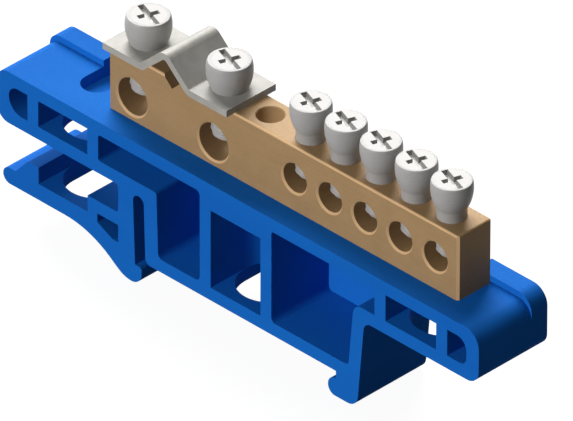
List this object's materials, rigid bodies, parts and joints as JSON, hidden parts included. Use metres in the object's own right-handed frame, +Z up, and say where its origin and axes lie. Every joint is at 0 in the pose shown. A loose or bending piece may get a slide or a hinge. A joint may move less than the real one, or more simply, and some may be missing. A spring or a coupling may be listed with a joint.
{
  "type": "neutral terminal bar",
  "caption": "Brass bar with screw terminals for neutral wires, on a blue insulating holder that snaps on a 35 mm rail.",
  "frame": {"origin": "middle of the rail, on the face that lies on the rail, at half the holder's depth", "axes": "+X along the bar towards the small terminals, +Y from the holder's open front to its closed back and along the rail, +Z up from the rail"},
  "size_m": [0.084, 0.012, 0.0356],
  "materials": {
    "blue_plastic": "satin moulding",
    "brass": "drawn, dull",
    "sheet_steel": "zinc plated, satin",
    "plated_steel": "nickel plated, satin"
  },
  "bodies": {
    "holder": {"insulator": "blue_plastic", "terminal_bar": "brass", "clamp_plate": "sheet_steel", "fixing_screw": "plated_steel"},
    "large_screw_1": {"large_screw_1": "plated_steel"},
    "large_screw_2": {"large_screw_2": "plated_steel"},
    "small_screw_1": {"small_screw_1": "plated_steel"},
    "small_screw_2": {"small_screw_2": "plated_steel"},
    "small_screw_3": {"small_screw_3": "plated_steel"},
    "small_screw_4": {"small_screw_4": "plated_steel"},
    "small_screw_5": {"small_screw_5": "plated_steel"}
  },
  "joints": [
    {"name": "large_screw_1_travel", "type": "slide", "parent": "holder", "child": "large_screw_1", "axis": [0, 0, 1], "range_m": [0, 0.0025]},
    {"name": "large_screw_2_travel", "type": "slide", "parent": "holder", "child": "large_screw_2", "axis": [0, 0, 1], "range_m": [0, 0.0025]},
    {"name": "small_screw_1_travel", "type": "slide", "parent": "holder", "child": "small_screw_1", "axis": [0, 0, 1], "range_m": [-0.0003, 0.0026]},
    {"name": "small_screw_2_travel", "type": "slide", "parent": "holder", "child": "small_screw_2", "axis": [0, 0, 1], "range_m": [-0.0003, 0.0026]},
    {"name": "small_screw_3_travel", "type": "slide", "parent": "holder", "child": "small_screw_3", "axis": [0, 0, 1], "range_m": [-0.0003, 0.0026]},
    {"name": "small_screw_4_travel", "type": "slide", "parent": "holder", "child": "small_screw_4", "axis": [0, 0, 1], "range_m": [-0.0003, 0.0026]},
    {"name": "small_screw_5_travel", "type": "slide", "parent": "holder", "child": "small_screw_5", "axis": [0, 0, 1], "range_m": [-0.0003, 0.0026]}
  ]
}
